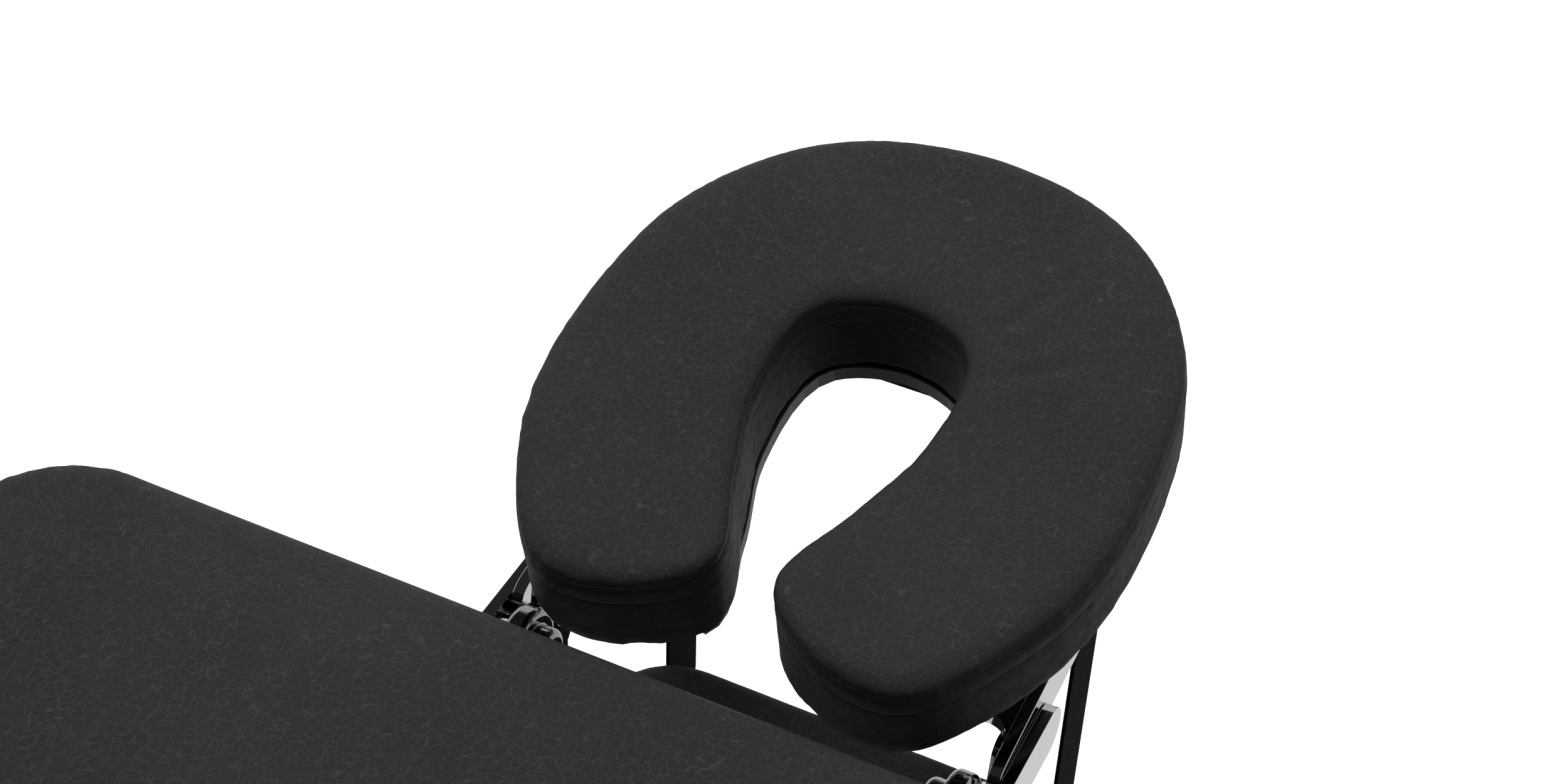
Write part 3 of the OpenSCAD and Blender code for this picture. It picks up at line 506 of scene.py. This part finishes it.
def stuff(thing, node, voxel, tuck, pressure, cap):
    """Fills a closed cover: it is remeshed a little small, swells, and settles to its node's outline."""
    use_modifier(thing, "REMESH", mode="VOXEL", voxel_size=voxel, use_smooth_shade=True)
    use_modifier(thing, "SMOOTH", factor=0.5, iterations=3)
    small = read_points(thing) - read_normals(thing) * tuck
    write_points(thing, small)
    write_points(thing, swell(thing, small, pressure, cap))
    settle_to(thing, node)
    use_modifier(thing, "SUBSURF", levels=1, render_levels=1)


def finish_soft(thing, node, cover):
    """Gives a stuffed piece smooth shading and its cover, and hides the node that it replaces."""
    thing.data.shade_smooth()
    cover_with(thing, cover)
    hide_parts(node)


def ease(value):
    value = np.clip(value, 0, 1)
    return value * value * (3 - 2 * value)


# Table pads
PAD_CORNER_R = 0.060
PAD_CORNER_Y = 0.290
PLEAT_DEPTH = 0.0012
PLEAT_RATE = 28
PLEAT_FADE = 0.25
PLEAT_HEIGHT = 0.034
CROWN_ROOM = 0.001


def settle_pad(points, low, high):
    """Keeps the head pad's underside flat, and gathers its cover in small pleats at the outer corners."""
    for side in (-1, 1):
        dx = points[:, 0] - (high[0] - PAD_CORNER_R)
        dy = (points[:, 1] - side * PAD_CORNER_Y) * side
        angle = np.arctan2(np.maximum(dy, 0), np.maximum(dx, 1e-6))
        radius = np.hypot(np.maximum(dx, 0), np.maximum(dy, 0))
        at_corner = ease((radius - 0.035) / 0.02) * ((dx > 0) & (dy > 0))
        fade = ease(angle / PLEAT_FADE) * ease((math.pi / 2 - angle) / PLEAT_FADE)
        low_down = ease((low[2] + PLEAT_HEIGHT - points[:, 2]) / 0.03)
        pleats = np.maximum(0, np.cos(angle * PLEAT_RATE)) ** 2
        depth = PLEAT_DEPTH * at_corner * fade * low_down * pleats
        safe = np.maximum(radius, 1e-6)
        points[:, 0] -= depth * np.maximum(dx, 0) / safe
        points[:, 1] -= side * depth * np.maximum(dy, 0) / safe
    points[:, 2] = np.clip(points[:, 2], low[2] + 0.0002, high[2] + CROWN_ROOM)
    points[:, 0] = np.clip(points[:, 0], low[0], high[0])
    points[:, 1] = np.clip(points[:, 1], low[1], high[1])


def make_pads():
    low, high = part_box("head_pad")
    pad = copy_of_node("head_pad", "head_pad_cover")
    stuff(pad, "head_pad", 0.0065, 0.0025, 4.0, 0.006)
    points = read_points(pad)
    settle_pad(points, low, high)
    write_points(pad, points)
    other = pad.copy()
    other.data = pad.data.copy()
    other.name = "foot_pad_cover"
    bpy.context.scene.collection.objects.link(other)
    mirrored = read_points(other)
    mirrored[:, 0] = 2 * FOLD_X - mirrored[:, 0]
    write_points(other, mirrored)
    other.data.flip_normals()
    finish_soft(pad, "head_pad", COVER)
    finish_soft(other, "foot_pad", COVER)
    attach(pad, "head_half")
    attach(other, "foot_half")


# Face cushion
SEAM_PULLS = (0.0004, 0.0002)
SEAM_SPREAD = 0.0026
ROLL_DEPTH = 0.0004
ROLL_ABOVE_SEAM = 0.0042
ROLL_SPREAD = 0.0024
CROWN_EDGE = 0.0475

# Each crease: start and end on the cushion's plane, depth and width
CREASES = (
    ((0.206, 0.054), (0.262, 0.090), 0.0011, 0.0034),
    ((0.214, 0.038), (0.268, 0.058), 0.0010, 0.0030),
    ((0.222, 0.022), (0.254, 0.032), 0.0008, 0.0026),
    ((0.200, -0.046), (0.268, -0.080), 0.0010, 0.0038),
    ((0.172, -0.050), (0.207, -0.108), 0.0010, 0.0046),
)


def crease(points, local):
    """Presses shallow folds into the crown that run out from the face opening."""
    on_top = ease((local[:, 2] - CROWN_EDGE) / 0.0045)
    for start, end, depth, width in CREASES:
        way = np.array(end) - np.array(start)
        length = np.linalg.norm(way)
        way = way / length
        from_start = local[:, :2] - np.array(start)
        run = from_start @ way
        off = from_start @ np.array((-way[1], way[0])) + 0.0018 * np.sin(run * 90)
        along = ease((run + 0.004) / 0.016) * ease((length - run) / (0.6 * length))
        trough = np.exp(-(off / width) ** 2)
        banks = 0.55 * np.exp(-((np.abs(off) - 2.1 * width) / (1.2 * width)) ** 2)
        points += np.outer(-depth * on_top * along * (trough - banks), ABOVE)


def bump_at(height, place, spread):
    """1 where a height is at the place, and less away from it."""
    return np.exp(-((height - place) / spread) ** 2)


def make_cushion():
    cushion = copy_of_node("cradle_cushion", "cushion_cover")
    stuff(cushion, "cradle_cushion", 0.004, 0.0022, 4.0, 0.006)
    points = read_points(cushion)
    from_origin = points - np.array(CUSHION_ORIGIN)
    local = np.stack([from_origin @ ALONG, from_origin[:, 1], from_origin @ ABOVE], axis=1)
    height = local[:, 2]
    points -= np.outer(np.minimum(height - 0.0002, 0), ABOVE)
    normals = read_normals(cushion)
    flat = normals - np.outer(normals @ ABOVE, ABOVE)
    wall = np.linalg.norm(flat, axis=1)
    outward = flat / np.maximum(wall, 1e-6)[:, None]
    steep = ease(wall / 0.5)
    for place, depth in zip(SEAM_HEIGHTS, SEAM_PULLS):
        pull = depth * bump_at(height, place, SEAM_SPREAD) * steep
        points -= outward * pull[:, None]
    roll = ROLL_DEPTH * bump_at(height, SEAM_HEIGHTS[0] + ROLL_ABOVE_SEAM, ROLL_SPREAD) * steep
    points += outward * roll[:, None]
    crease(points, local)
    write_points(cushion, points)
    finish_soft(cushion, "cradle_cushion", CUSHION_COVER)
    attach(cushion, "cradle_frame")


# Arm shelf
def make_shelf_pad():
    pad = copy_of_node("shelf_pad", "shelf_cover")
    stuff(pad, "shelf_pad", 0.004, 0.0015, 3.0, 0.005)
    low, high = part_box("shelf_pad")
    points = read_points(pad)
    points = np.clip(points, np.array(low), np.array(high) + np.array((0, 0, CROWN_ROOM)))
    write_points(pad, points)
    finish_soft(pad, "shelf_pad", SHELF_COVER)
    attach(pad, "arm_shelf")


# Metalwork with softened edges
FLAT_ANGLE = math.radians(0.6)
SHARP_ANGLE = math.radians(35)
SMOOTH_ANGLE = math.radians(32)


def soften(node, body, width, cover, spare=None):
    """A copy of a node whose sharp edges are rounded, except round a flush bolt at a spared point."""
    made = copy_of_node(node, node + "_rounded")
    shape = bmesh.new()
    shape.from_mesh(made.data)
    bmesh.ops.dissolve_limit(shape, angle_limit=FLAT_ANGLE, verts=shape.verts, edges=shape.edges,
                             use_dissolve_boundaries=False)
    weights = shape.edges.layers.float.new("bevel_weight_edge")
    for edge in shape.edges:
        sharp = len(edge.link_faces) == 2 and edge.calc_face_angle(0) > SHARP_ANGLE
        middle = (edge.verts[0].co + edge.verts[1].co) / 2
        away = spare is None or math.hypot(middle.x - spare.x, middle.z - spare.z) > BOLT_HEAD
        edge[weights] = 1.0 if sharp and away else 0.0
    shape.to_mesh(made.data)
    shape.free()
    use_modifier(made, "BEVEL", width=width, segments=3, limit_method="WEIGHT", use_clamp_overlap=True)
    make_active(made)
    bpy.ops.object.shade_smooth_by_angle(angle=SMOOTH_ANGLE)
    use_modifier(made, "WEIGHTED_NORMAL", weight=80, keep_sharp=True)
    cover_with(made, cover)
    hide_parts(node)
    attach(made, body)


def make_metalwork():
    soften("inner_arms", "cradle_frame", 0.0014, CHROME)
    soften("outer_arms", "cradle_arms", 0.0014, CHROME, TILT_BOLT)
    soften("cradle_plates", "cradle_frame", 0.0010, CHROME)
    soften("far_straps", "shelf_far_straps", 0.0006, WEBBING)
    soften("near_straps", "shelf_near_straps", 0.0006, WEBBING)
    soften("cradle_left_knob", "left_clamp", 0.0006, SHADED_KNOB_CHROME)
    soften("cradle_right_knob", "right_clamp", 0.0006, SHADED_KNOB_CHROME)


# Lights and surroundings
CEILING_START = 0.42
CEILING_FULL = 0.62
CEILING_LIGHT = 0.03
ROOM_LIGHT = 0.06
FLOOR_GLOW = 0.72
FLOOR_IN_METAL = 0.85


def add_lamp(name, place, target, size, power):
    data = bpy.data.lights.new(name, "AREA")
    data.shape = "RECTANGLE"
    data.size, data.size_y = size
    data.energy = power
    lamp = bpy.data.objects.new(name, data)
    bpy.context.scene.collection.objects.link(lamp)
    lamp.location = place
    lamp.rotation_mode = "QUATERNION"
    lamp.rotation_quaternion = (Vector(target) - Vector(place)).to_track_quat("-Z", "Y")
    lamp.visible_camera = False
    lamp.visible_glossy = False
    lamp.visible_transmission = False


def add_surroundings():
    """White backdrop for the camera. Polished metal sees it too, under the dark ceiling of a studio."""
    world = bpy.data.worlds.new("white_studio")
    bpy.context.scene.world = world
    world.use_nodes = True
    air = Nodes(world.node_tree)
    air.tree.nodes.clear()
    split = air.node("ShaderNodeSeparateXYZ")
    air.feed(split.inputs[0], air.node("ShaderNodeTexCoord").outputs["Generated"])
    ceiling = air.ramp(split.outputs["Z"], CEILING_START, CEILING_FULL, 1.0, CEILING_LIGHT)
    shown, glossy = air.ray_kinds()
    mirrored = air.node("ShaderNodeMix")
    air.put(mirrored, Factor=glossy, A=ROOM_LIGHT, B=ceiling)
    light = air.node("ShaderNodeBackground")
    air.put(light, Color=(1, 1, 1, 1), Strength=air.math("MAXIMUM", shown, mirrored.outputs["Result"]))
    out = air.node("ShaderNodeOutputWorld")
    air.feed(out.inputs["Surface"], light.outputs[0])


def add_floor():
    """Pale floor that fades into the backdrop for the camera, and is bright in polished metal."""
    clear_selection()
    bpy.ops.mesh.primitive_plane_add(size=30, location=(0, 0, -0.0005))
    floor = bpy.context.object
    floor.name = "studio_floor"
    finish = Finish("studio_floor")
    paint = finish.node("ShaderNodeBsdfDiffuse")
    finish.put(paint, Color=finish.blend(finish.noise(3), grey(0.78), grey(0.82)))
    glow = finish.node("ShaderNodeEmission")
    finish.put(glow, Strength=FLOOR_GLOW)
    to_camera = finish.node("ShaderNodeAddShader")
    finish.feed(to_camera.inputs[0], paint.outputs[0])
    finish.feed(to_camera.inputs[1], glow.outputs[0])
    dull = finish.node("ShaderNodeBsdfDiffuse")
    finish.put(dull, Color=(0.06, 0.06, 0.06, 1))
    bright = finish.node("ShaderNodeEmission")
    finish.put(bright, Strength=FLOOR_IN_METAL)
    shown, glossy = finish.ray_kinds()
    to_others = finish.mix_shaders(glossy, dull.outputs[0], bright.outputs[0])
    mixed = finish.mix_shaders(shown, to_others, to_camera.outputs[0])
    finish.feed(finish.tree.nodes["Material Output"].inputs["Surface"], mixed)
    floor.data.materials.append(finish.material)


make_pads()
make_cushion()
make_shelf_pad()
make_metalwork()
add_surroundings()
add_floor()
add_lamp("overhead_softbox", place=(1.1, 0.2, 3.0), target=(0.8, 0, 0.7), size=(1.8, 1.8), power=98)

bpy.context.scene.view_settings.view_transform = "Standard"
